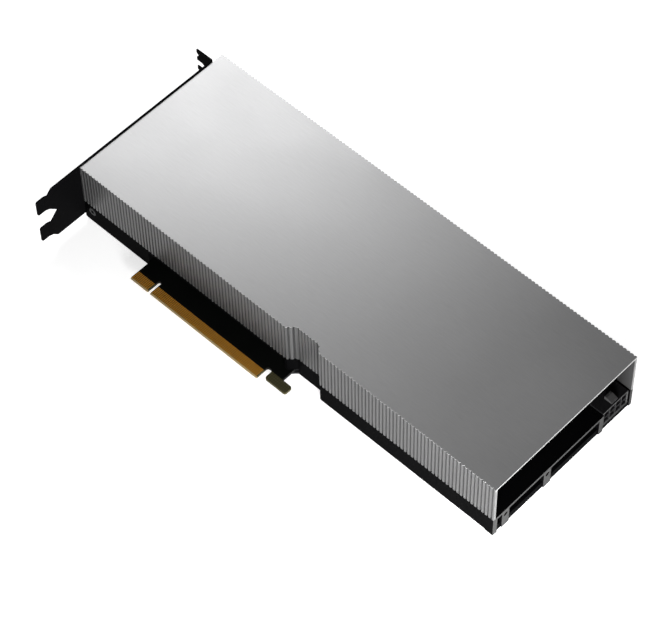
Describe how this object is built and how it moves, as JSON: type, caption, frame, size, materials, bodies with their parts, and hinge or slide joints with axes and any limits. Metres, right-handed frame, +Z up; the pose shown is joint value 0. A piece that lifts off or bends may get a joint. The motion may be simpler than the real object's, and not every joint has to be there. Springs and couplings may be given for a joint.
{
  "type": "passive accelerator card",
  "caption": "Dual-slot passive server accelerator card: reeded satin aluminium cover open at one end, black base frame, slotted mounting bracket and gold edge connector",
  "frame": {"origin": "centre of the whole part's footprint, on the plane that the card's underside rests on", "axes": "+X along the card from the mounting bracket to the open air inlet, +Y across it away from the edge connector, +Z up through the cover's flat top"},
  "size_m": [0.2792, 0.1262, 0.0397],
  "materials": {
    "brushed_cover": "satin brushed, clear",
    "black_cast": "black powder coat",
    "black_backplate": "satin black coat",
    "black_bracket": "black plated steel, satin",
    "board": "black solder mask",
    "gold_contacts": "gold plated",
    "insulating_film": "smooth film",
    "fin_aluminium": "mill finish",
    "spreader_metal": "nickel plated",
    "screw_steel": "black oxide",
    "bare_steel": "plain steel",
    "package_green": "laminate",
    "silicon": "polished silicon",
    "compound": "thermal compound",
    "ferrite": "matt grey ferrite",
    "thermal_pad": "soft thermal pad",
    "chip_epoxy": "moulded epoxy",
    "can_aluminium": "satin can",
    "socket_plastic": "black moulded plastic",
    "terminal_metal": "tin plated brass"
  },
  "bodies": {
    "root": {"shroud": "brushed_cover", "base_frame": "black_cast", "circuit_board": "board", "edge_contacts": "gold_contacts", "backplate": "black_backplate", "backplate_insulator": "insulating_film", "io_bracket": "black_bracket", "processor_substrate": "package_green", "processor_die": "silicon", "package_stiffener": "bare_steel", "memory_stacks": "silicon", "thermal_compound": "compound", "heat_spreader": "spreader_metal", "heatsink_posts": "bare_steel", "fin_stack": "fin_aluminium", "heatsink_screws": "bare_steel", "heatsink_washers": "bare_steel", "power_inductors": "ferrite", "inductor_thermal_pads": "thermal_pad", "power_stages": "chip_epoxy", "bulk_capacitors": "can_aluminium", "support_chips": "chip_epoxy", "power_socket": "socket_plastic", "socket_terminals": "terminal_metal", "terminal_tails": "terminal_metal", "backplate_screws": "screw_steel", "shroud_screws": "screw_steel", "bracket_screws": "screw_steel"}
  },
  "joints": []
}
